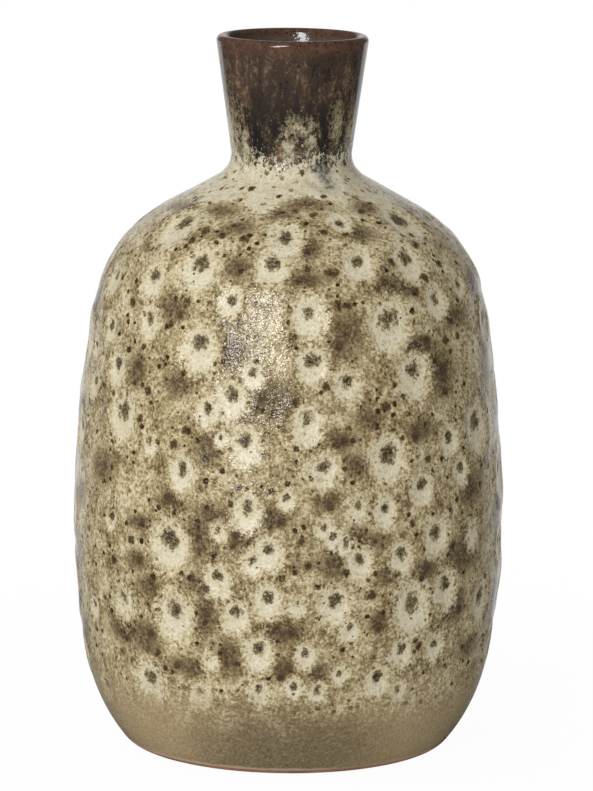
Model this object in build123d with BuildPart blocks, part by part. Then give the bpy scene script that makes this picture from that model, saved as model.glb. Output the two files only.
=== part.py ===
"""Bottle vase of thrown stoneware: luted clay sections under a thick cratered glaze."""

import os
from math import cos, radians, sin, tan

from build123d import *

# Outline of the glazed vase, as radius and height in millimetres
HEIGHT = 300
FOOT_RADIUS = 62.5
HEEL_RADIUS, HEEL_HEIGHT = 69.6, 3.5
HIP_RADIUS, HIP_HEIGHT = 85.5, 40
BELLY_RADIUS, BELLY_HEIGHT = 90, 96
SHOULDER_RADIUS, SHOULDER_HEIGHT = 80.8, 190.5
SHOULDER_ROUND = 55
SHOULDER_SLOPE = 29.5  # degrees up from level
NECK_FILLET = 11
NECK_FLARE = 8  # degrees out from upright
LIP_RADIUS = 32

# Wall, bore and foot
WALL = 7
FLOOR_TOP = 11
FLOOR_FILLET = 12
BORE_RADIUS, BORE_HEIGHT = 17.9, 249
MOUTH_RADIUS = 27.2
LIP_ROUND = 2.3
FOOT_INNER_RADIUS = 50
FOOT_RECESS = 4

# Glaze coats
GLAZE = 1.2
BARE_FOOT = 2.4  # height of the unglazed edge
COAT_SEAM = 251  # where the body coat gives way to the neck coat

# Seams between the clay sections: height at a radius, and rise outwards in degrees
SLIP = 0.6
SEAM_TILT = 20
FOOT_SEAM = (FOOT_RECESS - SLIP, FOOT_RADIUS, 0)
FLOOR_SEAM = (16, FOOT_RADIUS, 0)
SHOULDER_SEAM = (SHOULDER_HEIGHT, SHOULDER_RADIUS, SEAM_TILT)
NECK_SEAM = (246, BORE_RADIUS, SEAM_TILT)

REACH = 2 * HEIGHT  # past everything in the section

# Craters in the body glaze: turn from the front in degrees, height of the middle, half-width
CRATERS = [
    (-30.5, 210, 10),
    (-47, 204, 7.5),
    (-50.5, 224, 10.5),
    (-69, 200, 7),
    (-44.5, 187, 6.5),
    (-63, 181, 5.5),
    (-2, 222, 8.5),
    (-6, 212, 7.5),
    (23, 213, 8),
    (5.5, 193, 8.5),
    (-17.5, 198, 5.5),
    (27.5, 242, 7.5),
    (22, 227, 5),
    (55, 226, 10.5),
    (42.5, 212, 8.5),
    (30, 189, 10.5),
    (49, 196, 7),
    (63, 200, 5.5),
    (-26, 179, 9.5),
    (-56.5, 166, 7),
    (-51.5, 147, 9.5),
    (-68.5, 157, 5),
    (-72, 172, 4),
    (-22, 154, 6),
    (-11.5, 142, 7.5),
    (-18, 144, 3.5),
    (6.5, 174, 7.5),
    (16, 166, 6.5),
    (5, 151, 7.5),
    (9.5, 132, 7),
    (-10, 170, 5),
    (-15.5, 160, 7.5),
    (37, 168, 9),
    (27.5, 135, 9.5),
    (62, 142, 10),
    (52.5, 126, 6),
    (48.5, 139, 6.5),
    (-29, 128, 7),
    (-10.5, 114, 7),
    (-32.5, 98, 10.5),
    (-54, 104, 4.5),
    (-5, 98, 7),
    (-9, 94, 5.5),
    (-18.5, 86, 6.5),
    (-5, 78, 7),
    (37.5, 121, 6.5),
    (26, 114, 6),
    (42.5, 101, 7.5),
    (31, 94, 6.5),
    (19, 93, 7),
    (46.5, 78, 8),
    (35, 72, 10.5),
    (12.5, 76, 7.5),
    (64.5, 68, 8),
    (16.5, 65, 5),
    (-0.5, 120, 4),
    (9.5, 108, 4.5),
    (11.5, 104, 4),
    (15, 101, 4),
    (-31, 68, 9.5),
    (-13.5, 71, 6.5),
    (-7.5, 56, 7),
    (-41, 38, 9),
    (-24.5, 36, 6),
    (-64, 29, 6),
    (-64.5, 64, 5),
    (5, 55, 5),
    (2, 41, 4.5),
    (-7.5, 39, 5),
    (8.5, 39, 4.5),
    (14.5, 46, 4),
    (25.5, 43, 6),
    (32.5, 37, 4.5),
    (32.5, 54, 6),
    (44, 54, 5.5),
    (80, 224, 6),
    (92, 208, 8),
    (78, 182, 7),
    (97, 172, 9),
    (84, 152, 6),
    (101, 136, 7.5),
    (82, 118, 9),
    (96, 100, 6.5),
    (80, 88, 6),
    (93, 68, 8.5),
    (78, 46, 6),
    (100, 40, 5.5),
]
CRATER_TURNS = (0, 180)  # the back repeats the front
CRATER_DEPTH = 0.09  # share of the half-width
DEEPEST_CRATER = 0.9


def below(seam):
    """Everything in the section that lies under a seam."""
    height, radius, tilt = seam
    rise = tan(radians(tilt))
    with BuildSketch(Plane.XZ) as region:
        with BuildLine():
            Polyline(
                (0, -REACH),
                (REACH, -REACH),
                (REACH, height + (REACH - radius) * rise),
                (0, height - radius * rise),
                close=True,
            )
        make_face()
    return region.sketch_local


def slipped(seam):
    """The same seam at the upper face of its bed of slip."""
    height, radius, tilt = seam
    return height + SLIP, radius, tilt


# Silhouette of the glazed vase, both halves, as if it were solid
with BuildSketch(Plane.XZ) as silhouette:
    with BuildLine():
        belly = (BELLY_RADIUS, BELLY_HEIGHT)
        hip = TangentArc(belly, (HIP_RADIUS, HIP_HEIGHT), tangent=(0, -1))
        heel = TangentArc(hip @ 1, (HEEL_RADIUS, HEEL_HEIGHT), tangent=hip % 1)
        foot_roll = TangentArc(heel @ 1, (FOOT_RADIUS, 0), tangent=heel % 1)
        wall = TangentArc(belly, (SHOULDER_RADIUS, SHOULDER_HEIGHT), tangent=(0, 1))
        slope_way = Vector(-cos(radians(SHOULDER_SLOPE)), sin(radians(SHOULDER_SLOPE)))
        shoulder_turn = JernArc(wall @ 1, wall % 1, SHOULDER_ROUND, (wall % 1).get_angle(slope_way))
        lip = (LIP_RADIUS, HEIGHT)
        neck_line = PolarLine(lip, HEIGHT / 2, -90 - NECK_FLARE, mode=Mode.PRIVATE)
        slope = IntersectingLine(shoulder_turn @ 1, slope_way, neck_line)
        Polyline(slope @ 1, lip, (0, HEIGHT), (0, 0), foot_roll @ 1)
    make_face()
    fillet(silhouette.vertices().sort_by_distance(slope @ 1)[0], NECK_FILLET)
    mirror(about=Plane.YZ)

# Hollow inside the liner: the body follows the wall, and the bore opens towards the mouth
with BuildSketch(Plane.XZ) as hollow:
    add(silhouette.sketch_local)
    offset(amount=-WALL)
    with Locations((0, FLOOR_TOP)):
        Rectangle(REACH, REACH, align=(Align.CENTER, Align.MIN), mode=Mode.INTERSECT)
    fillet(hollow.vertices().group_by(Axis.Y)[0], FLOOR_FILLET)
    with BuildLine():
        Polyline(
            (-BORE_RADIUS, BORE_HEIGHT),
            (BORE_RADIUS, BORE_HEIGHT),
            (MOUTH_RADIUS, HEIGHT),
            (-MOUTH_RADIUS, HEIGHT),
            close=True,
        )
    make_face()

# Section of the whole wall, glaze included
with BuildSketch(Plane.XZ) as vase:
    add(silhouette.sketch_local)
    add(hollow.sketch_local, mode=Mode.SUBTRACT)
    Rectangle(2 * FOOT_INNER_RADIUS, 2 * FOOT_RECESS, mode=Mode.SUBTRACT)
    fillet(vase.vertices().group_by(Axis.Y)[-1], LIP_ROUND)

# Section of the bare clay: the edge of the foot, and the underside within it
with BuildSketch(Plane.XZ) as bare_clay:
    add(vase.sketch_local)
    with BuildLine():
        Polyline(
            (0, 0),
            (REACH, 0),
            (REACH, BARE_FOOT),
            (FOOT_RADIUS, BARE_FOOT),
            (FOOT_RADIUS, FOOT_RECESS + GLAZE),
            (0, FOOT_RECESS + GLAZE),
            close=True,
        )
    make_face(mode=Mode.INTERSECT)

# Hollow of the clay, which the liner makes smaller
with BuildSketch(Plane.XZ) as clay_hollow:
    add(hollow.sketch_local)
    offset(amount=GLAZE)

# Right half of the clay, inside its coats
with BuildSketch(Plane.XZ) as clay:
    add(silhouette.sketch_local)
    offset(amount=-GLAZE)
    add(clay_hollow.sketch_local, mode=Mode.SUBTRACT)
    Rectangle(2 * FOOT_INNER_RADIUS, 2 * FOOT_RECESS, mode=Mode.SUBTRACT)
    fillet(clay.vertices().group_by(Axis.Y)[-1], LIP_ROUND - GLAZE)
    Rectangle(REACH, 2 * REACH, align=(Align.MIN, Align.CENTER), mode=Mode.INTERSECT)
    add(bare_clay.sketch_local)

# Right half of the glaze, which is what the clay leaves of the wall
with BuildSketch(Plane.XZ) as coats:
    add(vase.sketch_local)
    Rectangle(REACH, 2 * REACH, align=(Align.MIN, Align.CENTER), mode=Mode.INTERSECT)
    add(clay.sketch_local, mode=Mode.SUBTRACT)

with BuildPart() as foot_ring:
    with BuildSketch(Plane.XZ):
        add(clay.sketch_local)
        add(below(FOOT_SEAM), mode=Mode.INTERSECT)
    revolve(axis=Axis.Z)

with BuildPart() as base_floor:
    with BuildSketch(Plane.XZ):
        add(clay.sketch_local)
        add(below(FLOOR_SEAM), mode=Mode.INTERSECT)
        add(below(slipped(FOOT_SEAM)), mode=Mode.SUBTRACT)
    revolve(axis=Axis.Z)

with BuildPart() as body_wall:
    with BuildSketch(Plane.XZ):
        add(clay.sketch_local)
        add(below(SHOULDER_SEAM), mode=Mode.INTERSECT)
        add(below(slipped(FLOOR_SEAM)), mode=Mode.SUBTRACT)
    revolve(axis=Axis.Z)

with BuildPart() as shoulder:
    with BuildSketch(Plane.XZ):
        add(clay.sketch_local)
        add(below(NECK_SEAM), mode=Mode.INTERSECT)
        add(below(slipped(SHOULDER_SEAM)), mode=Mode.SUBTRACT)
    revolve(axis=Axis.Z)

with BuildPart() as neck_collar:
    with BuildSketch(Plane.XZ):
        add(clay.sketch_local)
        add(below(slipped(NECK_SEAM)), mode=Mode.SUBTRACT)
    revolve(axis=Axis.Z)

with BuildPart() as luting_slip:
    for seam in (FOOT_SEAM, FLOOR_SEAM, SHOULDER_SEAM, NECK_SEAM):
        with BuildSketch(Plane.XZ):
            add(clay.sketch_local)
            add(below(slipped(seam)), mode=Mode.INTERSECT)
            add(below(seam), mode=Mode.SUBTRACT)
    revolve(axis=Axis.Z)

# Coats under the neck: the inner one lines the hollow, the outer one covers the body
with BuildSketch(Plane.XZ) as lower_coats:
    add(coats.sketch_local)
    add(below((COAT_SEAM, 0, 0)), mode=Mode.INTERSECT)
liner_section, body_section = lower_coats.sketch_local.faces().sort_by(Axis.X)

with BuildPart() as liner_glaze:
    with BuildSketch(Plane.XZ):
        add(liner_section)
    revolve(axis=Axis.Z)

with BuildPart() as neck_glaze:
    with BuildSketch(Plane.XZ):
        add(coats.sketch_local)
        add(below((COAT_SEAM, 0, 0)), mode=Mode.SUBTRACT)
    revolve(axis=Axis.Z)

with BuildPart() as body_glaze:
    with BuildSketch(Plane.XZ):
        add(body_section)
    revolve(axis=Axis.Z)
    coat = body_glaze.part
    for turn, height, half_width in CRATERS:
        depth = min(CRATER_DEPTH * half_width, DEEPEST_CRATER)
        ball = 1 / (2 * depth / half_width**2 - 1 / BELLY_RADIUS)
        for start in CRATER_TURNS:
            angle = radians(start + turn)
            outwards = Axis((0, 0, height), (sin(angle), -cos(angle), 0))
            middle, normal = coat.find_intersection_points(outwards)[-1]
            with Locations(middle + normal * (ball - depth)):
                Sphere(ball, mode=Mode.SUBTRACT)

foot_ring.part.label = "foot_ring"
base_floor.part.label = "base_floor"
body_wall.part.label = "body_wall"
shoulder.part.label = "shoulder"
neck_collar.part.label = "neck_collar"
luting_slip.part.label = "luting_slip"
liner_glaze.part.label = "liner_glaze"
neck_glaze.part.label = "neck_glaze"
body_glaze.part.label = "body_glaze"

os.makedirs("parts", exist_ok=True)
export_step(foot_ring.part, "parts/foot_ring.step")
export_step(base_floor.part, "parts/base_floor.step")
export_step(body_wall.part, "parts/body_wall.step")
export_step(shoulder.part, "parts/shoulder.step")
export_step(neck_collar.part, "parts/neck_collar.step")
export_step(luting_slip.part, "parts/luting_slip.step")
export_step(liner_glaze.part, "parts/liner_glaze.step")
export_step(neck_glaze.part, "parts/neck_glaze.step")
export_step(body_glaze.part, "parts/body_glaze.step")
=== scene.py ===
"""Looks of a thrown stoneware bottle vase: cratered body, dark neck, bare clay and a white studio."""

from collections import namedtuple
from math import cos, hypot, pi, radians, sin, tan

import bmesh
import bpy
import numpy as np
from bpy.props import FloatProperty, FloatVectorProperty, IntProperty, PointerProperty
from mathutils import Matrix, Vector


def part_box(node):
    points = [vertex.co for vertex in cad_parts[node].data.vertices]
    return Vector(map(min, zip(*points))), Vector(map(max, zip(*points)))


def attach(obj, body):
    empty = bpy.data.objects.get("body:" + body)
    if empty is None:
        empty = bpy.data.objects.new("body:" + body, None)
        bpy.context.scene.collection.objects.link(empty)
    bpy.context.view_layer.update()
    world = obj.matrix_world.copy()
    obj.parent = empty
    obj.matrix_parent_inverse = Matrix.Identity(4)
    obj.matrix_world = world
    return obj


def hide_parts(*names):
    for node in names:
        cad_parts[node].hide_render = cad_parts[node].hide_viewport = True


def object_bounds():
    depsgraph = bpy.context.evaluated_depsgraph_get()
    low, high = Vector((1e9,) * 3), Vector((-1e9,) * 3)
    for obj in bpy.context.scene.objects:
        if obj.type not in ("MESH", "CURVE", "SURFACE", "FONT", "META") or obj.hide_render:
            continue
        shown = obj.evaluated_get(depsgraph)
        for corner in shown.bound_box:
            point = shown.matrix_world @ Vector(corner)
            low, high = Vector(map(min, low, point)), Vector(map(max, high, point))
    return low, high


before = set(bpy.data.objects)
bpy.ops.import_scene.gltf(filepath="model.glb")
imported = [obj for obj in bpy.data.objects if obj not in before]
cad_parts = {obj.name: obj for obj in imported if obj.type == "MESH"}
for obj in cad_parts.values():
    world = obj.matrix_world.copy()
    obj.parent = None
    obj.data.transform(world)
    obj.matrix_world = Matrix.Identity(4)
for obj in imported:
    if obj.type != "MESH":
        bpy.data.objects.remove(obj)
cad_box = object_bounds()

bl_info = {
    "name": "Bottle Vase",
    "version": (1, 0, 0),
    "blender": (4, 5, 0),
    "location": "View3D > Sidebar > Vase",
    "description": "Glaze coats, clay finishes and a studio for a thrown bottle vase",
    "category": "Object",
}

MM = 0.001
VISUAL_BODY = "root"
OUTER_GLAZE = "thick_glaze"
SECTORS = 16  # a coat is spun as one wedge, which is then repeated round the axis

# Cream eyes of the glaze: turn from the front in degrees, height of the middle and half-width in millimetres
EYES = [
    (-30.5, 210, 10), (-47, 204, 7.5), (-50.5, 224, 10.5), (-69, 200, 7), (-44.5, 187, 6.5), (-63, 181, 5.5),
    (-2, 222, 8.5), (-6, 212, 7.5), (23, 213, 8), (5.5, 193, 8.5), (-17.5, 198, 5.5), (27.5, 242, 7.5),
    (22, 227, 5), (55, 226, 10.5), (42.5, 212, 8.5), (30, 189, 10.5), (49, 196, 7), (63, 200, 5.5),
    (-26, 179, 9.5), (-56.5, 166, 7), (-51.5, 147, 9.5), (-68.5, 157, 5), (-72, 172, 4), (-22, 154, 6),
    (-11.5, 142, 7.5), (-18, 144, 3.5), (6.5, 174, 7.5), (16, 166, 6.5), (5, 151, 7.5), (9.5, 132, 7),
    (-10, 170, 5), (-15.5, 160, 7.5), (37, 168, 9), (27.5, 135, 9.5), (62, 142, 10), (52.5, 126, 6),
    (48.5, 139, 6.5), (-29, 128, 7), (-10.5, 114, 7), (-32.5, 98, 10.5), (-54, 104, 4.5), (-5, 98, 7),
    (-9, 94, 5.5), (-18.5, 86, 6.5), (-5, 78, 7), (37.5, 121, 6.5), (26, 114, 6), (42.5, 101, 7.5),
    (31, 94, 6.5), (19, 93, 7), (46.5, 78, 8), (35, 72, 10.5), (12.5, 76, 7.5), (64.5, 68, 8), (16.5, 65, 5),
    (-0.5, 120, 4), (9.5, 108, 4.5), (11.5, 104, 4), (15, 101, 4), (-31, 68, 9.5), (-13.5, 71, 6.5),
    (-7.5, 56, 7), (-41, 38, 9), (-24.5, 36, 6), (-64, 29, 6), (-64.5, 64, 5), (5, 55, 5), (2, 41, 4.5),
    (-7.5, 39, 5), (8.5, 39, 4.5), (14.5, 46, 4), (25.5, 43, 6), (32.5, 37, 4.5), (32.5, 54, 6),
    (44, 54, 5.5), (80, 224, 6), (92, 208, 8), (78, 182, 7), (97, 172, 9), (84, 152, 6), (101, 136, 7.5),
    (82, 118, 9), (96, 100, 6.5), (80, 88, 6), (93, 68, 8.5), (78, 46, 6), (100, 40, 5.5),
]
# Fainter eyes, in the same way
FAINT_EYES = [
    (-15, 233, 6.5), (-40, 138, 5.5), (-18, 106, 5), (18.5, 116, 6.5), (58, 98, 7), (-21, 51, 5),
    (-49, 70, 8.5), (2.5, 76, 5), (-16, 81, 3.5),
]
# Purple-brown clouds between the eyes: turn, height, half-width and half-height
CLOUDS = [
    (-17.5, 212, 5, 4.5), (-55, 216, 6.5, 3), (-62, 230, 14, 3), (3.5, 208, 9, 3), (-36.5, 194, 7, 4),
    (33.5, 204, 12, 4), (28, 224, 7, 4), (55.5, 189, 9, 4), (16.5, 186, 6, 8.5), (-47, 168, 5, 6),
    (-32, 164, 6, 4), (-4, 161, 8.5, 7), (-16, 180, 5, 6), (47, 168, 8.5, 9), (39.5, 180, 9, 3.5),
    (22, 152, 5.5, 4), (38, 146, 7.5, 4), (14, 144, 6, 3.5), (-22, 140, 5.5, 5), (-59.5, 125, 7.5, 6),
    (18, 134, 4, 5), (-20.5, 113, 7, 4), (-23.5, 104, 4, 9), (-4, 113, 6, 4), (10, 120, 5, 4),
    (-11.5, 104, 6, 4), (18.5, 106, 3.5, 4), (12.5, 94, 6, 6), (22.5, 102, 7, 3), (-42.5, 106, 6, 2.5),
    (-43.5, 90, 5, 3.5), (-39.5, 80, 5, 4), (-23.5, 84, 5.5, 4), (-21.5, 72, 3.5, 9), (-49, 59, 9, 5),
    (-41, 58, 7, 6), (-1.5, 66, 8.5, 5), (-27, 48, 8.5, 3.5), (-15.5, 53, 4.5, 7.5), (-0.5, 50, 4, 4),
    (8.5, 48, 4, 4), (38.5, 88, 6.5, 4), (54.5, 92, 10, 7.5), (51, 70, 6.5, 6), (24.5, 68, 3.5, 4),
    (27.5, 88, 4.5, 3.5), (60.5, 50, 6.5, 4), (57.5, 118, 7.5, 6), (-31.5, 117, 6, 4), (76, 200, 8, 4),
    (88, 190, 6, 7), (90, 162, 8, 5), (73.5, 166, 5, 7), (92, 120, 6, 8), (76, 104, 6, 5), (88, 82, 7, 4),
    (76, 66, 5, 7), (88, 52, 8, 4), (-78, 140, 5, 8), (-76, 110, 6, 5), (-78, 84, 5, 7), (-76, 52, 6, 5),
    (-80, 190, 5, 7), (-35.5, 231, 7, 4), (-8, 231, 8, 3), (9, 234, 9, 3.5), (41, 232, 5, 4),
    (7, 219.5, 5, 5), (-22, 226, 6, 4), (53, 220, 6, 3),
]
# Larger brown dots: turn, height and radius
DOTS = [
    (-35, 224, 2.4), (-27, 223, 2), (-17.5, 222, 2.3), (-38, 220, 1.8), (-53.5, 194, 2.4), (-31.5, 198, 2),
    (-33.5, 192, 1.8), (-36.5, 188, 1.8), (5.5, 218, 1.8), (5.5, 212, 1.8), (13.5, 210, 2.9), (2, 232, 1.8),
    (11, 231, 1.8), (13.5, 225, 2), (22, 224, 2), (14.5, 198, 2), (17.5, 198, 1.8), (53, 222, 2),
    (50, 218, 2), (46.5, 206, 2.2), (57, 210, 2), (35.5, 213, 2), (40.5, 201, 2.5), (30.5, 206, 1.8),
    (23.5, 206, 1.8), (37, 231, 1.8), (-47, 170, 2), (-42, 160, 2), (-44, 148, 2), (-28, 146, 2),
    (-32, 140, 2), (-22, 135, 1.8), (1, 185, 2), (-7, 161, 2), (2, 160, 2), (-4, 155, 2), (10, 166, 2),
    (15, 144, 1.8), (16, 149, 1.8), (14, 182, 2), (42.5, 182, 2), (48, 168, 2.2), (48, 160, 2),
    (27, 157, 2.2), (50.5, 180, 1.8), (56.5, 181, 1.8), (48, 142, 2), (36, 143, 2), (40, 134, 2),
    (-54.5, 106, 2.4), (-45.5, 98, 2), (-52.5, 88, 2), (-42.5, 90, 2), (-37.5, 84, 1.8), (-33, 118, 2),
    (-21.5, 82, 1.8), (-13.5, 105, 2), (-14.5, 100, 1.8), (-1.5, 111, 2), (3.5, 103, 1.8), (5.5, 93, 2),
    (-1.5, 88, 1.8), (15.5, 90, 2), (11, 118, 2), (34.5, 108, 2), (29.5, 88, 1.8), (39.5, 89, 2),
    (37.5, 85, 1.8), (22.5, 80, 2), (48.5, 96, 2.4), (-51, 49, 2), (-39, 60, 2.2), (-37, 52, 2),
    (-31, 48, 1.8), (1.5, 65, 2), (0.5, 50, 1.8), (-1.5, 46, 1.8), (24.5, 66, 2), (53, 68, 2), (38, 56, 2),
    (1, 242.5, 1.8), (-28.5, 239, 1.8), (-67.5, 241.5, 1.8), (9.5, 245.5, 1.4), (60, 248, 1.4),
    (73.5, 243, 1.6), (20.5, 236.5, 1.3), (54, 242.5, 1.4), (-53, 238, 1.5), (-30.5, 235, 1.4),
    (-7, 237, 1.3), (37.5, 237, 1.4),
]
# Cream runs up the foot of the neck: turn, height, half-width and half-height
RUNS = [
    (-70, 262, 10, 16), (-48, 256, 3, 9), (5, 264, 6, 6), (-4, 256, 4, 7), (17, 260, 3, 9), (44, 266, 4, 11),
    (66, 262, 5, 14), (118, 260, 6, 12), (150, 264, 4, 10), (185, 258, 7, 9), (222, 264, 4, 12),
    (250, 258, 5, 9),
]
# Swellings of the hand-thrown wall: turn, height, half-width, half-height and rise
LUMPS = [
    (-80, 184, 45, 15, 0.9), (-82, 150, 40, 14, 0.9), (84, 204, 50, 12, 0.7), (84, 184, 40, 12, 0.5),
    (86, 108, 40, 14, 0.4), (86, 76, 45, 14, 0.7), (-88, 96, 40, 16, 0.2),
]
# One grey blot on the collar, in the same way as a cloud
COLLAR_BLOT = (30, 244, 3.6, 6.0)
MARK_TURNS = (0, 180)  # the back repeats the front
MARK_REACH = 2.0  # how far a mark's field reaches, in its own half sizes
EYE_TALLNESS = 1.3
CORE_SHARE = 0.34  # of the eye's half-width
CORE_TALLNESS = 1.2
CORE_LIFT = 0.32
RIM_PLACE = 1.15  # of the crater's half sizes
RIM_WIDTH = 0.4
CRATER_WIDTH = 1.1  # of the eye's half-width
CRATER_TALLNESS = 1.25
FAINT_EYE = 0.85  # of a full eye's nearness
FAINT_CORE = 0.65
RELIEF_FADE = 8.0  # from a coat's edge to where its relief is full, in millimetres
FACE_SLACK = 0.2  # of the coat's thickness, to tell its outer face from its hidden one
SHARP_EDGE = radians(50)
WELD_GAP = 1e-6
LEAST_FLAT = 0.1 * MM  # level top of the lip
FLOOR_SIDES = 96
FLOOR_GAP = 0.1 * MM  # keeps the floor clear of the foot's own face

# Heights in millimetres between which one look gives way to the next
RIDGE_HEIGHTS = (3.1, 4.0)
BAND_HEIGHTS = (19.0, 43.0)
PALER_HEIGHTS = (190.0, 235.0)
CREAM_HEIGHTS = (226.0, 242.0)
NECK_HEIGHTS = (246.5, 253.5)
RUN_HEIGHTS = (256.0, 277.0)
BROWN_HEIGHTS = (258.0, 284.0)
LIP_HEIGHTS = (291.0, 297.0)
LINER_HEIGHTS = (295.5, 298.0)
# Middle of the neck's wall: its distance from the axis, carried down to the floor, and its gain with height
WALL_START = -18.4
WALL_LEAN = 0.16

# A point of a meridian, and the way that the line goes there
Station = namedtuple("Station", "radius height heading")
# Coordinates and noises that the colours of the outer glaze share
Grains = namedtuple("Grains", "side depth height cloudy patchy grain fine streak broad")


def tint(code):
    """Linear colour with alpha of a hexadecimal screen colour."""
    shares = [int(code[i:i + 2], 16) / 255 for i in (0, 2, 4)]
    linear = [s / 12.92 if s <= 0.04045 else ((s + 0.055) / 1.055) ** 2.4 for s in shares]
    return (*linear, 1.0)


def length_property(name, description, default):
    """A size in metres that a user would change."""
    return FloatProperty(
        name=name, description=description, default=default, min=0.0, unit="LENGTH", precision=5
    )


def angle_property(name, description, degrees):
    """An angle that a user would change."""
    return FloatProperty(name=name, description=description, default=radians(degrees), subtype="ANGLE")


def share_property(name, description, default):
    """A share that a user would change."""
    return FloatProperty(name=name, description=description, default=default, subtype="FACTOR")


def count_property(name, description, default):
    """A number of steps that a user would change."""
    return IntProperty(name=name, description=description, default=default)


def colour_property(name, description, code):
    """A colour that a user would change."""
    return FloatVectorProperty(
        name=name, description=description, default=tint(code), size=4, min=0.0, max=1.0, subtype="COLOR"
    )


class VaseShape(bpy.types.PropertyGroup):
    """Outline of the glazed vase and thickness of its coats."""

    height: length_property("Height", "Height of the vase to the top of its lip", cad_box[1].z)
    belly_radius: length_property("Belly radius", "Widest radius of the body", cad_box[1].x)
    belly_height: length_property("Belly height", "Height of the widest radius", 0.096)
    hip_radius: length_property("Hip radius", "Radius where the body starts to close in", 0.0855)
    hip_height: length_property("Hip height", "Height of the hip", 0.04)
    heel_radius: length_property("Heel radius", "Radius at the top of the rolled foot edge", 0.0696)
    heel_height: length_property("Heel height", "Height of the rolled foot edge", 0.0035)
    foot_radius: length_property("Foot radius", "Radius of the resting ring", 0.0625)
    shoulder_radius: length_property("Shoulder radius", "Radius where the shoulder turns in", 0.0808)
    shoulder_height: length_property("Shoulder height", "Height where the shoulder turns in", 0.1905)
    shoulder_round: length_property("Shoulder round", "Radius of the shoulder's turn", 0.055)
    shoulder_slope: angle_property("Shoulder slope", "Rise of the shoulder from level", 29.5)
    neck_fillet: length_property("Neck fillet", "Radius of the curve at the foot of the neck", 0.011)
    neck_flare: angle_property("Neck flare", "Lean of the neck from upright", 8)
    lip_radius: length_property("Lip radius", "Outer radius of the lip", 0.032)
    lip_round: length_property("Lip round", "Radius of the lip's edges", 0.0023)
    mouth_radius: length_property("Mouth radius", "Inner radius of the lip", 0.0272)
    bore_radius: length_property("Bore radius", "Radius at the narrow end of the bore", 0.0179)
    bore_height: length_property("Bore height", "Height of the narrow end of the bore", 0.249)
    glaze: length_property("Glaze", "Thickness of the coats", 0.0012)
    bare_foot: length_property("Bare foot", "Height of the unglazed edge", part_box("body_glaze")[0].z)
    coat_seam: length_property("Coat seam", "Height where the neck coat starts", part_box("neck_glaze")[0].z)


class VaseRelief(bpy.types.PropertyGroup):
    """Craters, unevenness and fineness of the coats."""

    ring_spacing: length_property("Ring spacing", "Distance between the rings of the body coat", 0.00145)
    neck_spacing: length_property("Neck spacing", "Distance between the rings of the neck coat", 0.0007)
    back_step: count_property("Back step", "Rings for each one on a coat's hidden face", 8)
    body_steps: count_property("Body steps", "Steps round the body coat", 416)
    neck_steps: count_property("Neck steps", "Steps round the neck coat", 256)
    crater_depth: share_property("Crater depth", "Depth of a crater as a share of its half-width", 0.12)
    deepest: length_property("Deepest crater", "Most that a crater goes in", 0.0011)
    rim_share: share_property("Rim share", "Height of a crater's rim as a share of its depth", 0.45)
    wobble: length_property("Wobble", "Unevenness of the thrown wall", 0.0002)


class VaseColours(bpy.types.PropertyGroup):
    """Glaze and clay colours."""

    cream: colour_property("Cream", "Eyes of the glaze", "DFD7BF")
    pale: colour_property("Pale", "Pale grains of the ground", "C9BB96")
    tan: colour_property("Tan", "Ground of the glaze", "9D8B66")
    olive: colour_property("Olive", "Darker grains of the ground", "645437")
    umber: colour_property("Umber", "Freckles", "281E13")
    plum: colour_property("Plum", "Clouds between the eyes", "5A4C3E")
    slate: colour_property("Slate", "Cores of the eyes", "3E3E34")
    mist: colour_property("Mist", "Edge of the collar's blot", "BBB8AA")
    ash: colour_property("Ash", "Collar's blot", "6C685C")
    band: colour_property("Foot band", "Plain band above the foot", "A18C6A")
    # Painted shade for the low front of the plain band above the foot
    band_shade: colour_property("Foot band, low", "Thin end of the plain band", "524331")
    # Pale edge of the glaze at the foot, also carrying a painted highlight
    ridge_and_highlight: colour_property("Ridge", "Thick edge of the glaze at the foot", "C8AC90")
    neck_black: colour_property("Neck black", "Darkest runs of the neck", "1F1D1B")
    neck_brown: colour_property("Neck brown", "Upper ground of the neck", "40322A")
    neck_red: colour_property("Neck red", "Reddish patches of the neck", "553D31")
    neck_tan: colour_property("Neck tan", "Pale grains of the neck", "A99872")
    rim: colour_property("Rim", "Thin glaze on the lip", "684B38")
    liner: colour_property("Liner", "Coat inside the vase", "5E534B")
    clay: colour_property("Clay", "Bare clay of the foot", "AE7C64")
    slip: colour_property("Slip", "Slip in the seams", "7A5140")


class VaseStudio(bpy.types.PropertyGroup):
    """Camera and lights."""

    camera_distance: length_property("Camera distance", "From the middle of the vase to the camera", 2.0)
    camera_elevation: angle_property("Camera elevation", "Camera above the level", 9.885)
    camera_side: length_property("Camera side", "Camera to the right of the vase's axis", 0.00306)
    camera_dip: angle_property("Camera dip", "Aim below the middle of the vase", 0.0688)
    camera_roll: angle_property("Camera roll", "Camera's turn about its own line of sight", 0.567)
    lens: FloatProperty(name="Lens", description="Focal length", default=216.0, unit="CAMERA")
    key_power: FloatProperty(
        name="Key power", description="Power of the key light", default=12.3, unit="POWER"
    )
    key_turn: angle_property("Key turn", "Key light's turn to the left of the camera", 19.5)
    key_elevation: angle_property("Key elevation", "Key light above the level", 20)
    key_distance: length_property("Key distance", "From the middle of the vase to the key light", 1.6)
    key_width: length_property("Key width", "Width of the key light", 0.32)
    key_length: length_property("Key length", "Length of the key light", 0.85)
    key_lean: angle_property("Key lean", "Key light's lean to the right", 32)
    ambient: FloatProperty(name="Ambient", description="Light from all round", default=0.23)
    backdrop_radius: length_property("Backdrop radius", "Radius of the floor", 8.0)


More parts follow.
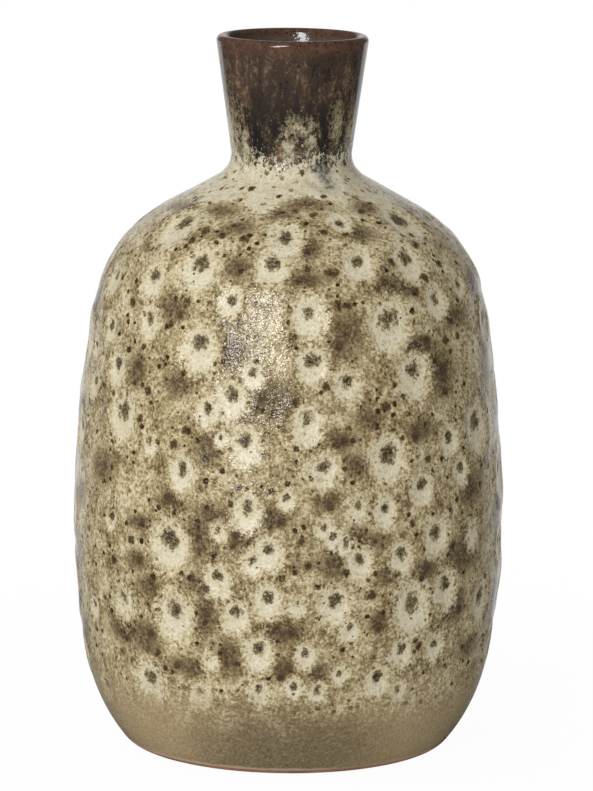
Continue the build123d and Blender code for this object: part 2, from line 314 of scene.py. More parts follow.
class Pen:
    """Draws a meridian as stations, in arcs and straight runs that flow into each other."""

    def __init__(self, radius, height, heading, spacing):
        self.stations = [Station(radius, height, heading)]
        self.spacing = spacing

    def shares(self, length):
        count = max(1, round(length / self.spacing))
        return [(i + 1) / count for i in range(count)]

    def run(self, length):
        """Goes straight on."""
        radius, height, heading = self.stations[-1]
        for share in self.shares(length):
            step = share * length
            self.stations.append(Station(radius + step * cos(heading), height + step * sin(heading), heading))

    def turn(self, bend, angle):
        """Turns through an angle, to the left where it is positive, on an arc of a radius."""
        radius, height, heading = self.stations[-1]
        side = bend if angle > 0 else -bend
        middle_radius = radius - side * sin(heading)
        middle_height = height + side * cos(heading)
        for share in self.shares(bend * abs(angle)):
            way = heading + share * angle
            reach = middle_radius + side * sin(way)
            level = middle_height - side * cos(way)
            self.stations.append(Station(reach, level, way))

    def arc_to(self, radius, height):
        """Goes to a point on the one arc that leaves in the present direction."""
        start = self.stations[-1]
        chord = Vector((radius - start.radius, height - start.height))
        ahead = Vector((cos(start.heading), sin(start.heading)))
        half = -ahead.angle_signed(chord)
        self.turn(chord.length / (2 * sin(abs(half))), 2 * half)


def lower_outline(shape, spacing):
    """Stations from the foot's resting edge up to the belly."""
    pen = Pen(shape.belly_radius, shape.belly_height, -pi / 2, spacing)
    pen.arc_to(shape.hip_radius, shape.hip_height)
    pen.arc_to(shape.heel_radius, shape.heel_height)
    pen.arc_to(shape.foot_radius, 0.0)
    return [Station(s.radius, s.height, s.heading + pi) for s in reversed(pen.stations)]


def upper_outline(shape, spacing):
    """Stations from the belly up to the straight side of the neck."""
    pen = Pen(shape.belly_radius, shape.belly_height, pi / 2, spacing)
    pen.arc_to(shape.shoulder_radius, shape.shoulder_height)
    slope_way = pi - shape.shoulder_slope
    pen.turn(shape.shoulder_round, slope_way - pen.stations[-1].heading)
    neck_way = pi / 2 - shape.neck_flare
    corner = slope_run(pen.stations[-1], neck_way, shape)
    turn = neck_way - slope_way
    pen.run(corner - shape.neck_fillet * tan(abs(turn) / 2))
    pen.turn(shape.neck_fillet, turn)
    return pen.stations[1:]


def slope_run(start, neck_way, shape):
    """Distance along the shoulder's slope to the line of the neck."""
    across = Vector((shape.lip_radius - start.radius, shape.height - start.height))
    neck_normal = Vector((sin(neck_way), -cos(neck_way)))
    slope = Vector((cos(start.heading), sin(start.heading)))
    return across.dot(neck_normal) / slope.dot(neck_normal)


def neck_outline(shape, foot, spacing):
    """Stations from the foot of the neck over the lip and down the bore to the coat seam."""
    pen = Pen(foot.radius, foot.height, foot.heading, spacing)
    bore_way = Vector((shape.bore_radius - shape.mouth_radius, shape.bore_height - shape.height))
    bore_heading = 2 * pi - Vector((1, 0)).angle(bore_way)
    outer_turn = pi - foot.heading
    inner_turn = bore_heading - pi
    outer_cut = shape.lip_round * tan(outer_turn / 2)
    inner_cut = shape.lip_round * tan(inner_turn / 2)
    side = hypot(shape.lip_radius - foot.radius, shape.height - foot.height)
    pen.run(side - outer_cut)
    pen.turn(shape.lip_round, outer_turn)
    pen.run(max(shape.lip_radius - shape.mouth_radius - outer_cut - inner_cut, LEAST_FLAT))
    pen.turn(shape.lip_round, inner_turn)
    pen.run((pen.stations[-1].height - shape.coat_seam) / abs(sin(bore_heading)))
    return pen.stations


def seam_split(stations, height):
    """The first station at or above a height on the way up, with the height itself made exact."""
    index = next(i for i, s in enumerate(stations) if s.height >= height)
    above, below = stations[index], stations[index - 1]
    share = (height - below.height) / (above.height - below.height)
    radius = below.radius + share * (above.radius - below.radius)
    return index, Station(radius, height, above.heading)


def mesh_of(name, bm):
    """A mesh made from a bmesh, which is then freed."""
    mesh = bpy.data.meshes.new(name)
    bm.to_mesh(mesh)
    bm.free()
    return mesh


def linked(name, data):
    """A new object in the scene that holds the data."""
    made = bpy.data.objects.new(name, data)
    bpy.context.scene.collection.objects.link(made)
    return made


def coat_object(name, stations, thickness, steps, back_step):
    """A closed coat spun from an outer line, with its hidden face a thickness further in."""
    hidden = stations[::back_step] + ([] if (len(stations) - 1) % back_step == 0 else stations[-1:])
    section = [(s.radius, s.height) for s in stations]
    section += [
        (s.radius - thickness * sin(s.heading), s.height + thickness * cos(s.heading))
        for s in reversed(hidden)
    ]
    bm = bmesh.new()
    corners = [bm.verts.new((radius, 0.0, height)) for radius, height in section]
    sides = [bm.edges.new((corners[i - 1], corners[i])) for i in range(len(corners))]
    axle = {"cent": (0, 0, 0), "axis": (0, 0, 1)}
    sector = 2 * pi / SECTORS
    bmesh.ops.spin(bm, geom=corners + sides, angle=sector, steps=steps // SECTORS, **axle)
    wedge = bm.verts[:] + bm.edges[:] + bm.faces[:]
    rest = SECTORS - 1
    bmesh.ops.spin(bm, geom=wedge, angle=rest * sector, steps=rest, use_duplicate=True, **axle)
    bmesh.ops.remove_doubles(bm, verts=bm.verts, dist=WELD_GAP)
    bmesh.ops.recalc_face_normals(bm, faces=bm.faces)
    for face in bm.faces:
        face.smooth = True
    mesh = mesh_of(name, bm)
    mesh.set_sharp_from_angle(angle=SHARP_EDGE)
    return linked(name, mesh)


class Surface:
    """Vertices of a coat, and the fields that its marks draw on them."""

    def __init__(self, mesh, stations):
        self.mesh = mesh
        count = len(mesh.vertices)
        self.points = self.read(mesh.vertices, "co", count)
        self.normals = self.read(mesh.vertex_normals, "vector", count)
        climb = [s for s in stations if cos(s.heading - pi / 2) > 0]
        self.heights = np.array([s.height for s in climb])
        self.radii = np.array([s.radius for s in climb])

    @staticmethod
    def read(collection, name, count):
        values = np.empty(count * 3, dtype=np.float32)
        collection.foreach_get(name, values)
        return values.reshape(count, 3).astype(float)

    def near(self, turn, height, half_width, half_height, lift=0.0):
        """The vertices round a mark, and how far each is from its middle in the mark's own half sizes."""
        angle = radians(turn)
        radius = np.interp(height * MM, self.heights, self.radii)
        middle = np.array([radius * sin(angle), -radius * cos(angle), height * MM])
        span = MARK_REACH * max(half_width, half_height) + lift
        close = np.flatnonzero(np.abs(self.points - middle).max(axis=1) < span * MM)
        offset = self.points[close] - middle
        across = offset @ np.array([cos(angle), sin(angle), 0.0])
        squared = np.maximum((offset**2).sum(axis=1) - across**2, 0.0)
        along = np.sign(offset[:, 2]) * np.sqrt(squared) - lift * MM
        return close, np.hypot(across / (half_width * MM), along / (half_height * MM))

    def field(self, marks, turns=MARK_TURNS):
        """Largest nearness of any mark: 1 at its middle, a half at its edge and 0 well outside."""
        nearness = np.zeros(len(self.points))
        for turn, height, half_width, half_height, lift in marks:
            for start in turns:
                close, away = self.near(start + turn, height, half_width, half_height, lift)
                nearness[close] = np.maximum(nearness[close], 1.0 - away / MARK_REACH)
        return nearness

    def store(self, name, values):
        """Keeps a field on the mesh for its material."""
        attribute = self.mesh.attributes.new(name, "FLOAT", "POINT")
        attribute.data.foreach_set("value", values.astype(np.float32))

    def press(self, depth):
        """Moves the outer vertices in along their normals."""
        moved = self.points - self.normals * depth[:, None]
        self.mesh.vertices.foreach_set("co", moved.astype(np.float32).ravel())
        self.mesh.update()


def eye_marks(eyes):
    return [(turn, height, width, width * EYE_TALLNESS, 0.0) for turn, height, width in eyes]


def core_marks(eyes):
    marks = []
    for turn, height, width in eyes:
        core = width * CORE_SHARE
        marks.append((turn, height, core, core * CORE_TALLNESS, width * CORE_LIFT))
    return marks


def level_marks(marks):
    return [(turn, height, width, tall, 0.0) for turn, height, width, tall in marks]


def dot_marks():
    return [(turn, height, radius, radius, 0.0) for turn, height, radius in DOTS]


def crater_depths(surface, relief):
    """How far each vertex is pressed in by the craters, and out by their rims."""
    depth = np.zeros(len(surface.points))
    rim = np.zeros(len(surface.points))
    for turn, height, width in EYES:
        deepest = min(relief.crater_depth * width * MM, relief.deepest)
        for start in MARK_TURNS:
            sizes = width * CRATER_WIDTH, width * CRATER_TALLNESS
            close, away = surface.near(start + turn, height, *sizes)
            depth[close] = np.maximum(depth[close], deepest * (1 - np.minimum(away, 1.0) ** 2) ** 2)
            ring = np.maximum(1 - ((away - RIM_PLACE) / RIM_WIDTH) ** 2, 0.0)
            rim[close] = np.maximum(rim[close], relief.rim_share * deepest * ring)
    return depth - rim


def lump_rises(surface):
    """How far each vertex is pushed out by the swellings of the wall."""
    rise = np.zeros(len(surface.points))
    for turn, height, width, tall, top in LUMPS:
        close, away = surface.near(turn, height, width, tall)
        rise[close] += top * MM * (1 - np.minimum(away, 1.0) ** 2) ** 2
    return rise


def wobble(points):
    """Uneven throwing of the wall, between 0 and 1."""
    turn = np.arctan2(points[:, 0], -points[:, 1])
    height = points[:, 2] / MM
    slow = np.sin(3 * turn + height / 31) + np.sin(5 * turn - height / 19 + 1.3)
    quick = np.sin(9 * turn + height / 11 + 0.7) + np.sin(height / 7 + 2 * turn)
    return 0.5 + 0.15 * slow + 0.1 * quick


class Value:
    """A shader value, whose arithmetic adds Math nodes to the tree that it belongs to."""

    def __init__(self, paint, socket):
        self.paint = paint
        self.socket = socket

    def math(self, operation, first, second):
        return self.paint.node("ShaderNodeMath", {"operation": operation}, {0: first, 1: second})

    def __add__(self, other):
        return self.math("ADD", self, other)

    def __radd__(self, other):
        return self.math("ADD", other, self)

    def __sub__(self, other):
        return self.math("SUBTRACT", self, other)

    def __rsub__(self, other):
        return self.math("SUBTRACT", other, self)

    def __mul__(self, other):
        return self.math("MULTIPLY", self, other)

    def __rmul__(self, other):
        return self.math("MULTIPLY", other, self)

    def output(self, name):
        """Another output of the same node."""
        return Value(self.paint, self.socket.node.outputs[name])


class Paint:
    """Nodes of one material or world."""

    def __init__(self, owner):
        owner.use_nodes = True
        self.tree = owner.node_tree
        self.tree.nodes.clear()

    def node(self, kind, settings=None, inputs=None, output=0):
        """Adds a node, with its settings made first and its sockets filled or linked."""
        made = self.tree.nodes.new(kind)
        for setting, value in (settings or {}).items():
            if setting == "stops":
                self.fill_ramp(made.color_ramp, value)
            else:
                setattr(made, setting, value)
        for socket, value in (inputs or {}).items():
            if isinstance(value, Value):
                self.tree.links.new(value.socket, made.inputs[socket])
            else:
                made.inputs[socket].default_value = value
        return Value(self, made.outputs[output]) if made.outputs else None

    @staticmethod
    def fill_ramp(ramp, stops):
        while len(ramp.elements) < len(stops):
            ramp.elements.new(1.0)
        for element, (position, colour) in zip(ramp.elements, stops):
            element.position = position
            element.color = colour

    def place(self):
        """Object coordinates in millimetres."""
        spot = self.node("ShaderNodeTexCoord", output="Object")
        return self.node("ShaderNodeVectorMath", {"operation": "SCALE"}, {"Vector": spot, "Scale": 1 / MM})

    def stretched(self, place, scale):
        return self.node("ShaderNodeMapping", {"vector_type": "POINT"}, {"Vector": place, "Scale": scale})

    def reach(self, place):
        """Distance from the axis."""
        level = self.node("ShaderNodeVectorMath", {"operation": "MULTIPLY"}, {0: place, 1: (1.0, 1.0, 0.0)})
        return self.node("ShaderNodeVectorMath", {"operation": "LENGTH"}, {0: level}, output="Value")

    def noise(self, place, size, detail=2.0, rough=0.5):
        """Cloudy noise with features of a size in millimetres, about 0.5 on average."""
        inputs = {"Vector": place, "Scale": 1 / size, "Detail": detail, "Roughness": rough}
        return self.node("ShaderNodeTexNoise", None, inputs)

    def warped(self, place, size, amount):
        """The place pushed about by a noise of a size, both in millimetres."""
        push = self.noise(place, size).output("Color")
        push = self.node("ShaderNodeVectorMath", {"operation": "SUBTRACT"}, {0: push, 1: (0.5, 0.5, 0.5)})
        push = self.node("ShaderNodeVectorMath", {"operation": "SCALE"}, {"Vector": push, "Scale": amount})
        return self.node("ShaderNodeVectorMath", {"operation": "ADD"}, {0: place, 1: push})

    def smooth(self, value, low, high):
        """0 below low and 1 above high, with a smooth step between."""
        settings = {"interpolation_type": "SMOOTHSTEP", "clamp": True}
        return self.node("ShaderNodeMapRange", settings, {"Value": value, "From Min": low, "From Max": high})

    def ramp(self, value, stops):
        return self.node("ShaderNodeValToRGB", {"stops": stops}, {0: value})

    def mix(self, share, low, high):
        """Colour between two colours."""
        settings = {"data_type": "RGBA", "clamp_factor": True}
        return self.node("ShaderNodeMix", settings, {0: share, 6: low, 7: high}, output=2)

    def attribute(self, name):
        return self.node("ShaderNodeAttribute", {"attribute_name": name}, output="Fac")

    def freckles(self, place, spacing, smallest, largest, blur):
        """Round dots of mixed sizes scattered over the surface, in millimetres."""
        inputs = {"Vector": place, "Scale": 1 / spacing, "Randomness": 1.0}
        cell = self.node("ShaderNodeTexVoronoi", {"feature": "F1"}, inputs)
        pick = self.node("ShaderNodeSeparateColor", None, {0: cell.output("Color")})
        radius = smallest + (largest - smallest) * (pick * pick)
        return self.smooth(radius - cell * spacing, -blur, blur)

    def bump(self, height, strength, distance):
        """Normal of a relief that rises by a distance in millimetres where its height is 1."""
        inputs = {"Strength": strength, "Distance": distance * MM, "Height": height}
        return self.node("ShaderNodeBump", None, inputs)

    def mirrored(self, ray):
        """1 for a ray that a glossy or clear surface sent on, and 0 for any other."""
        kinds = {0: ray.output("Is Glossy Ray"), 1: ray.output("Is Transmission Ray")}
        return self.node("ShaderNodeMath", {"operation": "MAXIMUM"}, kinds)

    def finish(self, colour, normal=None, **shader):
        """Ends the tree in a Principled shader."""
        inputs = {"Base Color": colour}
        inputs.update({name.replace("_", " ").title().replace("Ior", "IOR"): v for name, v in shader.items()})
        if normal is not None:
            inputs["Normal"] = normal
        surface = self.node("ShaderNodeBsdfPrincipled", None, inputs)
        self.node("ShaderNodeOutputMaterial", None, {"Surface": surface})


def between(low, high, share):
    return low + (high - low) * share


def grey(level):
    return (level, level, level, 1.0)


def crater_glaze(colours):
    """The outer glaze: cratered cream and brown on the body, dark and streaked on the neck."""
    material = bpy.data.materials.new(OUTER_GLAZE)
    paint = Paint(material)
    place = paint.place()
    spot = paint.node("ShaderNodeSeparateXYZ", None, {0: place})
    runny = paint.stretched(place, (1.0, 1.0, 0.35))
    grains = Grains(
        side=spot,
        depth=spot.output("Y"),
        height=spot.output("Z"),
        cloudy=paint.noise(place, 12.0) - 0.5,
        patchy=paint.noise(place, 2.8) - 0.5,
        grain=paint.noise(place, 1.3, 2.0, 0.5) - 0.5,
        fine=paint.noise(place, 0.6, 1.0, 0.5) - 0.5,
        streak=paint.noise(runny, 1.2, 3.0, 0.6) - 0.5,
        broad=paint.noise(runny, 6.0) - 0.5,
    )
    mark = paint.attribute("core") + 1.2 * grains.patchy + 1.0 * grains.grain + 0.6 * grains.cloudy
    core = paint.smooth(mark, 0.32, 0.78)
    body = body_colour(paint, colours, place, grains, core)
    colour, neck = neck_colour(paint, colours, grains, body)
    wall = WALL_LEAN * grains.height + WALL_START
    bore = paint.smooth(wall - paint.reach(place), -0.5, 0.5)
    bore = bore * (1 - paint.smooth(grains.height + 4 * grains.patchy, *LINER_HEIGHTS))
    lined = bore * paint.smooth(grains.grain + 0.5 * grains.streak, -0.3, 0.1)
    colour = paint.mix(lined, colour, colours.liner)
    ridge_and_highlight = 1 - paint.smooth(grains.height + 2.0 * grains.cloudy, *RIDGE_HEIGHTS)
    # Pale glaze edge with a painted highlight, strongest on the -X side towards the key light and fading
    # towards +X
    colour = paint.mix(ridge_and_highlight * (0.65 - 0.4 * paint.smooth(grains.side, 5.0, 35.0)), colour, colours.ridge_and_highlight)
    rough = 1.4 + 2.6 * core - 1.32 * neck + 0.4 * bore
    bumps = (paint.noise(place, 0.95, 1.0, 0.5) + 0.4 * paint.noise(place, 2.8)) * rough
    normal = paint.bump(bumps, 0.9, 0.22)
    satin = 0.07 + 0.08 * grains.grain + 0.25 * paint.smooth(paint.attribute("eye"), 0.4, 0.7) * (1 - core)
    paint.finish(colour, normal, roughness=between(satin + 0.3 * ridge_and_highlight, 0.13, neck), ior=1.54)
    return material


def body_colour(paint, colours, place, grains, core):
    """Cream eyes with dark cores, brown clouds and specks on a tan ground, plain above the foot."""
    _, depth, height, cloudy, patchy, grain, fine, _, _ = grains
    murk = paint.attribute("cloud")
    top = paint.smooth(height + 10 * cloudy + 10 * patchy - 14 * murk, *CREAM_HEIGHTS)
    mark = paint.attribute("eye")
    eye = paint.smooth(mark + 0.2 * patchy + 0.3 * grain + 0.2 * fine + 0.75 * top, 0.36, 0.73)
    halo = paint.smooth(mark, 0.05, 0.4) * (1 - eye)
    cloud = paint.smooth(murk + 0.6 * cloudy + 0.5 * patchy + 0.3 * grain, 0.1, 0.9) * (1 - eye)
    dot = paint.smooth(paint.attribute("dot") + 1.1 * patchy + 1.0 * grain, 0.4, 0.74)
    loose = paint.warped(place, 1.0, 1.3)
    clot = paint.freckles(loose, 2.3, -0.1, 1.0, 0.5) * (1 - 0.85 * eye)
    speck = paint.freckles(loose, 3.3, -0.3, 1.35, 0.3) * (1 - 0.75 * eye + 0.25 * top)
    pinhole = paint.freckles(place, 3.0, -0.35, 0.62, 0.14)
    band = 1 - paint.smooth(height + 18 * cloudy + 8 * patchy + 10 * grain, *BAND_HEIGHTS)

    # Tone, from umber at 0 to cream at 1
    ground = 0.59 + 0.7 * cloudy + 0.65 * patchy + 0.08 * paint.smooth(height, *PALER_HEIGHTS)
    tone = ground - 0.3 * cloud - 0.07 * halo
    tone = between(tone, 0.75 + 0.11 * paint.smooth(mark + top, 0.5, 0.75) + 0.4 * patchy, eye)
    tone = tone + (0.95 * grain + 0.5 * fine) * (1 - 0.4 * eye)
    tone = between(tone, 0.22 + 0.5 * grain, clot * 0.55)
    tone = between(tone, 0.03 + 0.4 * grain, speck * 0.95)
    tone = between(tone, 0.06 + 0.6 * grain + 0.5 * fine, dot * 0.9)
    tone = between(tone, 0.16 + 1.7 * grain + 1.1 * fine, core * 0.9)
    tone = between(tone, 0.56 + 0.8 * grain + 0.7 * fine, band * 0.9)
    stops = [
        (0.0, colours.umber),
        (0.25, colours.olive),
        (0.5, colours.tan),
        (0.72, colours.pale),
        (0.95, colours.cream),
    ]
    colour = paint.ramp(tone, stops)
    colour = paint.mix(cloud * 0.35, colour, colours.plum)
    colour = paint.mix(core * 0.36, colour, colours.slate)
    blot = paint.attribute("blot") + 0.5 * patchy + 0.3 * grain
    colour = paint.mix(paint.smooth(blot, 0.1, 0.4) * 0.4, colour, colours.mist)
    colour = paint.mix(paint.smooth(blot, 0.25, 0.55) * (0.85 + 1.5 * grain), colour, colours.ash)
    rise = height + 8 * cloudy + 1.5 * (72 + depth)  # painted shade: the band darkens low down at the front
    low = paint.mix(paint.smooth(rise, 4.0, 36.0), colours.band_shade, colours.band)
    colour = paint.mix(band * 0.7, colour, low)
    return paint.mix(pinhole * (1 - band) * 0.9, colour, colours.umber)


def neck_colour(paint, colours, grains, body):
    """Colour with the neck's dark glaze over the body's, and how far a place belongs to the neck."""
    side, _, height, _, patchy, grain, fine, streak, broad = grains
    run = paint.attribute("run")
    ragged = 1.4 * streak + 0.9 * grain + 0.7 * patchy
    neck = paint.smooth(height + 32 * streak + 20 * grain + 8 * broad + 10 * fine, *NECK_HEIGHTS)
    upper = paint.smooth(height + 14 * broad, *BROWN_HEIGHTS)
    ground = paint.mix(upper, colours.neck_black, colours.neck_brown)
    ground = paint.mix(paint.smooth(broad + 0.6 * grain, -0.05, 0.2), ground, colours.neck_red)
    tan = paint.smooth(ragged + 1.0 * fine + 0.7 * broad + 0.1 * upper, 0.1, 0.5)
    colour = paint.mix(tan * (0.76 - 0.22 * upper), ground, colours.neck_tan)
    # Painted shade: more black is laid on the neck towards +X, the side away from the key light
    side_shade = 0.14 * paint.smooth(side, 2.0, 24.0)  # the neck is darkest towards +X
    black = paint.smooth(1.2 * patchy + 0.8 * grain - 0.6 * broad + side_shade, 0.1, 0.3)
    colour = paint.mix(black * 0.75, colour, colours.neck_black)
    lip = paint.smooth(height + 5 * broad + 6 * grain, *LIP_HEIGHTS)
    lip_colour = paint.mix(paint.smooth(patchy, -0.15, 0.2), colours.neck_red, colours.rim)
    colour = paint.mix(lip * 0.9, colour, lip_colour)
    thin = paint.smooth(run + ragged, 0.35, 0.8)
    thick = paint.smooth(run + ragged, 0.58, 1.0)
    thick = thick * (1 - paint.smooth(height + 30 * grain, *RUN_HEIGHTS))
    colour = paint.mix(thin * (0.58 + 2.4 * fine + 2.0 * grain), colour, colours.neck_tan)
    colour = paint.mix(thick * (0.8 + 1.5 * fine), colour, body)
    grit = paint.smooth(0.8 * fine + 0.7 * grain + 0.4 * streak, 0.03, 0.17)
    colour = paint.mix(grit * 0.82, colour, colours.neck_black)
    return paint.mix(neck, body, colour), neck


def liner_glaze(colours):
    """Plain dark coat inside the vase, with faint runs."""
    material = bpy.data.materials.new("inner_glaze")
    paint = Paint(material)
    place = paint.place()
    runs = paint.noise(paint.stretched(place, (1.0, 1.0, 0.25)), 3.0, 2.0)
    colour = paint.mix(paint.smooth(runs, 0.35, 0.7), colours.liner, colours.neck_black)
    bumps = paint.noise(place, 2.5)
    normal = paint.bump(bumps, 0.2, 0.2)
    paint.finish(colour, normal, roughness=0.18 + 0.1 * runs, ior=1.5)
    return material


def bare_clay(name, base, dark):
    """Matte fired clay with fine grit and turning lines."""
    material = bpy.data.materials.new(name)
    paint = Paint(material)
    place = paint.place()
    grit = paint.noise(place, 0.6, 3.0, 0.65)
    patches = paint.noise(place, 14.0)
    specks = paint.freckles(place, 3.0, -0.3, 0.5, 0.15)
    colour = paint.mix(paint.smooth(0.6 * grit + 0.4 * patches, 0.35, 0.65), dark, base)
    colour = paint.mix(specks * 0.6, colour, dark)
    rings = paint.reach(place) * 4.0 + patches * 6.0
    turning = paint.node("ShaderNodeMath", {"operation": "SINE"}, {0: rings})
    bumps = grit + 0.35 * turning
    normal = paint.bump(bumps, 0.5, 0.15)
    paint.finish(colour, normal, roughness=0.85 + 0.1 * grit)
    return material


def dress(node, material):
    """Gives a carried-over clay or coat its finish."""
    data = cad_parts[node].data
    data.materials.clear()
    data.materials.append(material)


def glaze_of(colours):
    """The one glaze that both outer coats share."""
    return bpy.data.materials.get(OUTER_GLAZE) or crater_glaze(colours)


def coat_lines(shape, relief):
    """Outer lines of the body coat and the neck coat, parted at the coat seam."""
    climb = lower_outline(shape, relief.ring_spacing) + upper_outline(shape, relief.ring_spacing)
    start, first = seam_split(climb, shape.bare_foot)
    end, last = seam_split(climb, shape.coat_seam)
    body_line = [first] + climb[start:end] + [last]
    neck_foot = Station(last.radius, last.height, pi / 2 - shape.neck_flare)
    return body_line, neck_outline(shape, neck_foot, relief.neck_spacing)


class VASE_OT_body_coat(bpy.types.Operator):
    """Spin the body coat and press the craters into it"""

    bl_idname = "vase.body_coat"
    bl_label = "Body Coat"

    def execute(self, context):
        shape, relief = context.scene.vase_shape, context.scene.vase_relief
        line, _ = coat_lines(shape, relief)
        piece = coat_object("body_coat", line, shape.glaze, relief.body_steps, relief.back_step)
        surface = Surface(piece.data, line)
        faint_eyes = surface.field(eye_marks(FAINT_EYES))
        faint_cores = surface.field(core_marks(FAINT_EYES))
        surface.store("eye", np.maximum(surface.field(eye_marks(EYES)), FAINT_EYE * faint_eyes))
        surface.store("core", np.maximum(surface.field(core_marks(EYES)), FAINT_CORE * faint_cores))
        surface.store("blot", surface.field(level_marks([COLLAR_BLOT]), (0,)))
        surface.store("cloud", surface.field(level_marks(CLOUDS)))
        surface.store("dot", surface.field(dot_marks()))
        surface.store("run", surface.field(level_marks(RUNS), (0,)))
        heights = surface.points[:, 2]
        reach = np.hypot(surface.points[:, 0], surface.points[:, 1])
        outer = reach > np.interp(heights, surface.heights, surface.radii) - shape.glaze * FACE_SLACK
        ends = np.minimum(heights - shape.bare_foot, shape.coat_seam - heights) / (RELIEF_FADE * MM)
        share = outer * np.clip(ends, 0.0, 1.0)
        dents = crater_depths(surface, relief) + relief.wobble * (wobble(surface.points) - 1.0)
        surface.press(share * (dents - lump_rises(surface)))
        piece.data.materials.append(glaze_of(context.scene.vase_colours))
        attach(piece, VISUAL_BODY)
        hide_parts("body_glaze")
        return {"FINISHED"}


class VASE_OT_neck_coat(bpy.types.Operator):
    """Spin the neck coat over the lip and into the bore"""

    bl_idname = "vase.neck_coat"
    bl_label = "Neck Coat"

    def execute(self, context):
        shape, relief = context.scene.vase_shape, context.scene.vase_relief
        _, line = coat_lines(shape, relief)
        piece = coat_object("neck_coat", line, shape.glaze, relief.neck_steps, relief.back_step)
        surface = Surface(piece.data, line)
        surface.store("run", surface.field(level_marks(RUNS), (0,)))
        piece.data.materials.append(glaze_of(context.scene.vase_colours))
        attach(piece, VISUAL_BODY)
        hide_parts("neck_glaze")
        return {"FINISHED"}


class VASE_OT_liner(bpy.types.Operator):
    """Finish the coat inside the vase"""

    bl_idname = "vase.liner"
    bl_label = "Liner"

    def execute(self, context):
        dress("liner_glaze", liner_glaze(context.scene.vase_colours))
        return {"FINISHED"}


class VASE_OT_clay(bpy.types.Operator):
    """Finish the bare clay sections and the slip between them"""

    bl_idname = "vase.clay"
    bl_label = "Clay"

    def execute(self, context):
        colours = context.scene.vase_colours
        clay = bare_clay("fired_clay", colours.clay, colours.slip)
        for node in ("foot_ring", "base_floor", "body_wall", "shoulder", "neck_collar"):
            dress(node, clay)
        dress("luting_slip", bare_clay("fired_slip", colours.slip, colours.rim))
        return {"FINISHED"}


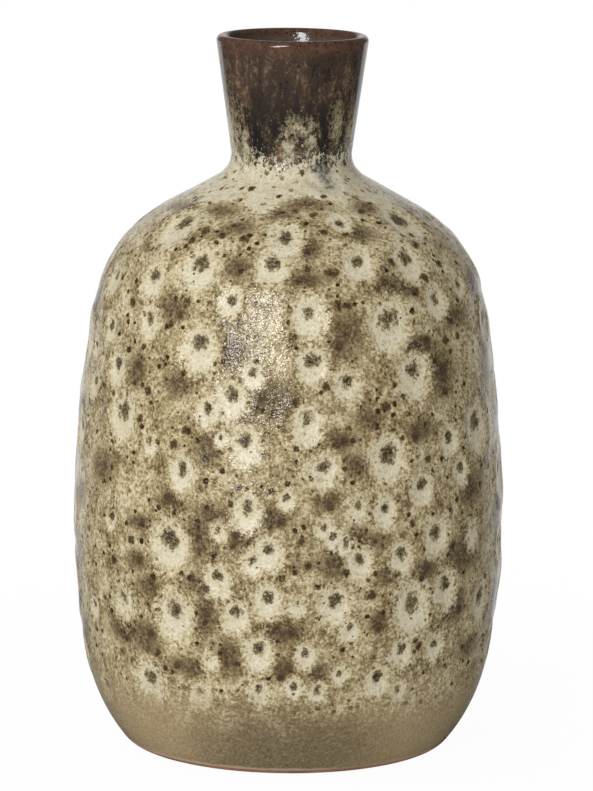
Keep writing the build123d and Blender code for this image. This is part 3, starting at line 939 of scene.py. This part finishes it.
class VASE_OT_stage(bpy.types.Operator):
    """Set up the white floor, the lights and the camera"""

    bl_idname = "vase.stage"
    bl_label = "Stage"

    def execute(self, context):
        studio, shape = context.scene.vase_studio, context.scene.vase_shape
        context.scene.view_settings.view_transform = "Standard"
        self.add_floor(studio)
        self.add_world(context, studio)
        middle = Vector((0.0, 0.0, shape.height / 2))
        self.add_key(studio, middle)
        self.add_camera(context, studio, middle)
        return {"FINISHED"}

    @staticmethod
    def add_floor(studio):
        bm = bmesh.new()
        bmesh.ops.create_circle(bm, cap_ends=True, segments=FLOOR_SIDES, radius=studio.backdrop_radius)
        bmesh.ops.translate(bm, verts=bm.verts, vec=(0.0, 0.0, -FLOOR_GAP))
        mesh = mesh_of("floor", bm)
        floor = linked("floor", mesh)
        material = bpy.data.materials.new("white_floor")
        paint = Paint(material)
        place = paint.place()
        spot = paint.node("ShaderNodeSeparateXYZ", None, {0: place})
        aside = paint.node("ShaderNodeMath", {"operation": "ABSOLUTE"}, {0: spot})
        ray = paint.node("ShaderNodeLightPath")
        mirrored = paint.mirrored(ray)
        shade = paint.mix(mirrored, grey(0.75), grey(0.12))
        shade = paint.mix(ray, shade, grey(0.95))
        lit = paint.node("ShaderNodeBsdfDiffuse", None, {"Color": shade})
        white = paint.node("ShaderNodeEmission", None, {"Color": grey(1.0), "Strength": 1.0})
        far = paint.smooth(paint.reach(place), 120.0, 420.0)
        back = paint.smooth(spot.output("Y") - 1.2 * aside, -110.0, 100.0)
        seen = ray * between(0.965, 1.0, far) + mirrored * between(0.0, 0.8, back)
        seen = seen + 0.5 * ray.output("Is Diffuse Ray")
        surface = paint.node("ShaderNodeMixShader", None, {0: seen, 1: lit, 2: white})
        paint.node("ShaderNodeOutputMaterial", None, {"Surface": surface})
        mesh.materials.append(material)

    @staticmethod
    def add_world(context, studio):
        world = bpy.data.worlds.new("studio")
        paint = Paint(world)
        way = paint.node("ShaderNodeTexCoord", output="Generated")
        side = paint.node("ShaderNodeSeparateXYZ", None, {0: way})
        depth, rise = side.output("Y"), side.output("Z")
        ray = paint.node("ShaderNodeLightPath")
        behind = between(0.08, 0.7, paint.smooth(depth, 0.84, 1.0))
        above = between(0.75, 3.8, paint.smooth(rise, 0.0, 1.0))
        strength = between(studio.ambient * above * (1 - 0.85 * side), behind, paint.mirrored(ray))
        strength = between(strength, 1.0, ray)
        light = paint.node("ShaderNodeBackground", None, {"Color": grey(1.0), "Strength": strength})
        paint.node("ShaderNodeOutputWorld", None, {"Surface": light})
        context.scene.world = world

    @staticmethod
    def add_key(studio, middle):
        lamp = bpy.data.lights.new("key", "AREA")
        lamp.energy = studio.key_power
        lamp.shape = "RECTANGLE"
        lamp.size = studio.key_width
        lamp.size_y = studio.key_length
        key = linked("key", lamp)
        turn, level = studio.key_turn, cos(studio.key_elevation)
        way = Vector((-sin(turn) * level, -cos(turn) * level, sin(studio.key_elevation)))
        key.location = middle + way * studio.key_distance
        lean = Matrix.Rotation(-studio.key_lean, 3, "Z")
        key.rotation_euler = (way.to_track_quat("Z", "Y").to_matrix() @ lean).to_euler()

    @staticmethod
    def add_camera(context, studio, middle):
        data = bpy.data.cameras.new("camera")
        data.lens = studio.lens
        camera = linked("camera", data)
        away = Vector((0.0, -cos(studio.camera_elevation), sin(studio.camera_elevation)))
        side = Vector((studio.camera_side, 0.0, 0.0))
        camera.location = middle + side + away * studio.camera_distance
        pitch = Matrix.Rotation(pi / 2 - studio.camera_elevation - studio.camera_dip, 3, "X")
        camera.rotation_euler = (pitch @ Matrix.Rotation(studio.camera_roll, 3, "Z")).to_euler()
        context.scene.camera = camera


class VASE_PT_sidebar(bpy.types.Panel):
    """Vase steps in the sidebar"""

    bl_idname = "VASE_PT_sidebar"
    bl_label = "Bottle Vase"
    bl_space_type = "VIEW_3D"
    bl_region_type = "UI"
    bl_category = "Vase"

    def draw(self, context):
        for operator in OPERATORS:
            self.layout.operator(operator.bl_idname)
        for group in GROUPS:
            self.layout.label(text=group)
            settings = getattr(context.scene, group)
            for name in settings.__annotations__:
                self.layout.prop(settings, name)


GROUPS = {
    "vase_shape": VaseShape,
    "vase_relief": VaseRelief,
    "vase_colours": VaseColours,
    "vase_studio": VaseStudio,
}
OPERATORS = (VASE_OT_body_coat, VASE_OT_neck_coat, VASE_OT_liner, VASE_OT_clay, VASE_OT_stage)


def register():
    for group in GROUPS.values():
        bpy.utils.register_class(group)
    for group, kind in GROUPS.items():
        setattr(bpy.types.Scene, group, PointerProperty(type=kind))
    for operator in OPERATORS:
        bpy.utils.register_class(operator)
    bpy.utils.register_class(VASE_PT_sidebar)


def unregister():
    bpy.utils.unregister_class(VASE_PT_sidebar)
    for operator in reversed(OPERATORS):
        bpy.utils.unregister_class(operator)
    for group, kind in reversed(GROUPS.items()):
        delattr(bpy.types.Scene, group)
        bpy.utils.unregister_class(kind)


def main():
    register()
    bpy.ops.vase.body_coat()
    bpy.ops.vase.neck_coat()
    bpy.ops.vase.liner()
    bpy.ops.vase.clay()
    bpy.ops.vase.stage()


if __name__ == "__main__":
    main()
